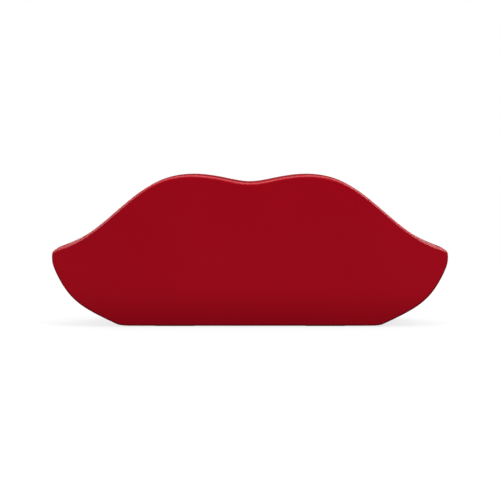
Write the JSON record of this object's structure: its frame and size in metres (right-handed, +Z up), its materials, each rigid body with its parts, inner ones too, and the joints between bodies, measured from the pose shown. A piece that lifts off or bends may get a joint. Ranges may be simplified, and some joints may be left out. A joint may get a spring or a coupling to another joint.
{
  "type": "novelty telephone",
  "caption": "One-piece telephone shaped as a pair of lips; it stands on a flat foot that holds the earpiece, keys and hook plunger.",
  "frame": {"origin": "centre of the footprint on the surface that the telephone stands on", "axes": "+X along the lips towards the microphone end, +Y towards the plain back, +Z up; the mouth faces -Y"},
  "size_m": [0.22, 0.08, 0.0844],
  "materials": {
    "lip_casing": "gloss",
    "black_plastic": "satin",
    "black_rubber": "matte",
    "panel_plastic": "satin",
    "silicone": "matte",
    "board_laminate": "satin",
    "chip_plastic": "matte",
    "capacitor_sleeve": "gloss",
    "resistor_body": "satin",
    "tinned_steel": "satin",
    "connector_plastic": "satin",
    "spring_steel": "satin",
    "ivory_plastic": "satin",
    "foam": "matte",
    "capsule_can": "satin",
    "gold_contact": "polished",
    "ballast_steel": "dull",
    "screw_steel": "satin",
    "lead_red": "satin",
    "lead_yellow": "satin",
    "lead_blue": "satin",
    "lead_green": "satin"
  },
  "bodies": {
    "casing": {"front_shell": "lip_casing", "rear_cover": "lip_casing", "mouth_grille": "black_plastic", "rubber_feet": "black_rubber", "base_panel": "panel_plastic", "keypad_membrane": "silicone", "main_board": "board_laminate", "dialler_chip": "chip_plastic", "ringer_chip": "chip_plastic", "capacitors": "capacitor_sleeve", "resistors": "resistor_body", "diodes": "chip_plastic", "transistors": "chip_plastic", "crystal": "tinned_steel", "lead_connectors": "connector_plastic", "hook_spring": "spring_steel", "hook_bracket": "tinned_steel", "hook_switch_body": "chip_plastic", "hook_switch_pin": "tinned_steel", "receiver_gasket": "foam", "receiver_capsule": "capsule_can", "receiver_retaining_ring": "black_plastic", "microphone_boot": "black_rubber", "microphone_capsule": "capsule_can", "ringer_speaker": "capsule_can", "ringer_plate": "connector_plastic", "ringer_switch_housing": "tinned_steel", "mode_switch_housing": "tinned_steel", "line_jack": "black_plastic", "jack_contacts": "gold_contact", "ballast_weight": "ballast_steel", "base_screws": "screw_steel", "board_screws": "screw_steel", "ringer_screws": "screw_steel", "ballast_screws": "screw_steel", "receiver_leads": "lead_red", "ringer_leads": "lead_yellow", "microphone_leads": "lead_blue", "line_leads": "lead_green", "ringer_switch_leads": "lead_red"},
    "hook_plunger": {"hook_plunger": "ivory_plastic"},
    "hook_lever": {"hook_switch_lever": "spring_steel"},
    "ringer_switch": {"ringer_switch_knob": "ivory_plastic"},
    "mode_switch": {"mode_switch_knob": "ivory_plastic"},
    "key_1": {"key_1": "ivory_plastic"},
    "key_2": {"key_2": "ivory_plastic"},
    "key_3": {"key_3": "ivory_plastic"},
    "key_4": {"key_4": "ivory_plastic"},
    "key_5": {"key_5": "ivory_plastic"},
    "key_6": {"key_6": "ivory_plastic"},
    "key_7": {"key_7": "ivory_plastic"},
    "key_8": {"key_8": "ivory_plastic"},
    "key_9": {"key_9": "ivory_plastic"},
    "key_star": {"key_star": "ivory_plastic"},
    "key_0": {"key_0": "ivory_plastic"},
    "key_hash": {"key_hash": "ivory_plastic"},
    "key_redial": {"key_redial": "ivory_plastic"},
    "key_flash": {"key_flash": "ivory_plastic"},
    "key_mute": {"key_mute": "ivory_plastic"}
  },
  "joints": [
    {"name": "key_1_press", "type": "slide", "parent": "casing", "child": "key_1", "axis": [0, 0, 1], "range_m": [0, 0.0015], "stiffness_N_per_m": 400, "springref_m": -0.001, "deforming": ["keypad_membrane"]},
    {"name": "key_2_press", "type": "slide", "parent": "casing", "child": "key_2", "axis": [0, 0, 1], "range_m": [0, 0.0015], "stiffness_N_per_m": 400, "springref_m": -0.001, "deforming": ["keypad_membrane"]},
    {"name": "key_3_press", "type": "slide", "parent": "casing", "child": "key_3", "axis": [0, 0, 1], "range_m": [0, 0.0015], "stiffness_N_per_m": 400, "springref_m": -0.001, "deforming": ["keypad_membrane"]},
    {"name": "key_4_press", "type": "slide", "parent": "casing", "child": "key_4", "axis": [0, 0, 1], "range_m": [0, 0.0015], "stiffness_N_per_m": 400, "springref_m": -0.001, "deforming": ["keypad_membrane"]},
    {"name": "key_5_press", "type": "slide", "parent": "casing", "child": "key_5", "axis": [0, 0, 1], "range_m": [0, 0.0015], "stiffness_N_per_m": 400, "springref_m": -0.001, "deforming": ["keypad_membrane"]},
    {"name": "key_6_press", "type": "slide", "parent": "casing", "child": "key_6", "axis": [0, 0, 1], "range_m": [0, 0.0015], "stiffness_N_per_m": 400, "springref_m": -0.001, "deforming": ["keypad_membrane"]},
    {"name": "key_7_press", "type": "slide", "parent": "casing", "child": "key_7", "axis": [0, 0, 1], "range_m": [0, 0.0015], "stiffness_N_per_m": 400, "springref_m": -0.001, "deforming": ["keypad_membrane"]},
    {"name": "key_8_press", "type": "slide", "parent": "casing", "child": "key_8", "axis": [0, 0, 1], "range_m": [0, 0.0015], "stiffness_N_per_m": 400, "springref_m": -0.001, "deforming": ["keypad_membrane"]},
    {"name": "key_9_press", "type": "slide", "parent": "casing", "child": "key_9", "axis": [0, 0, 1], "range_m": [0, 0.0015], "stiffness_N_per_m": 400, "springref_m": -0.001, "deforming": ["keypad_membrane"]},
    {"name": "key_star_press", "type": "slide", "parent": "casing", "child": "key_star", "axis": [0, 0, 1], "range_m": [0, 0.0015], "stiffness_N_per_m": 400, "springref_m": -0.001, "deforming": ["keypad_membrane"]},
    {"name": "key_0_press", "type": "slide", "parent": "casing", "child": "key_0", "axis": [0, 0, 1], "range_m": [0, 0.0015], "stiffness_N_per_m": 400, "springref_m": -0.001, "deforming": ["keypad_membrane"]},
    {"name": "key_hash_press", "type": "slide", "parent": "casing", "child": "key_hash", "axis": [0, 0, 1], "range_m": [0, 0.0015], "stiffness_N_per_m": 400, "springref_m": -0.001, "deforming": ["keypad_membrane"]},
    {"name": "key_redial_press", "type": "slide", "parent": "casing", "child": "key_redial", "axis": [0, 0, 1], "range_m": [0, 0.0015], "stiffness_N_per_m": 400, "springref_m": -0.001, "deforming": ["keypad_membrane"]},
    {"name": "key_flash_press", "type": "slide", "parent": "casing", "child": "key_flash", "axis": [0, 0, 1], "range_m": [0, 0.0015], "stiffness_N_per_m": 400, "springref_m": -0.001, "deforming": ["keypad_membrane"]},
    {"name": "key_mute_press", "type": "slide", "parent": "casing", "child": "key_mute", "axis": [0, 0, 1], "range_m": [0, 0.0015], "stiffness_N_per_m": 400, "springref_m": -0.001, "deforming": ["keypad_membrane"]},
    {"name": "hook_plunger_slide", "type": "slide", "parent": "casing", "child": "hook_plunger", "axis": [0, 0, -1], "range_m": [-0.0005, 0.0035], "stiffness_N_per_m": 100, "springref_m": 0.0095, "deforming": ["hook_spring"]},
    {"name": "hook_lever_hinge", "type": "hinge", "parent": "casing", "child": "hook_lever", "pos_m": [-0.0006, 0.008, 0.0202], "axis": [0, -1, 0], "range_deg": [-3, 16]},
    {"name": "ringer_switch_slide", "type": "slide", "parent": "casing", "child": "ringer_switch", "axis": [0, 1, 0], "range_m": [-0.0018, 0.0018]},
    {"name": "mode_switch_slide", "type": "slide", "parent": "casing", "child": "mode_switch", "axis": [1, 0, 0], "range_m": [0, 0.003]}
  ],
  "couplings": [
    {"joint": "hook_lever_hinge", "follows": "hook_plunger_slide", "rad_per_m": 75}
  ]
}
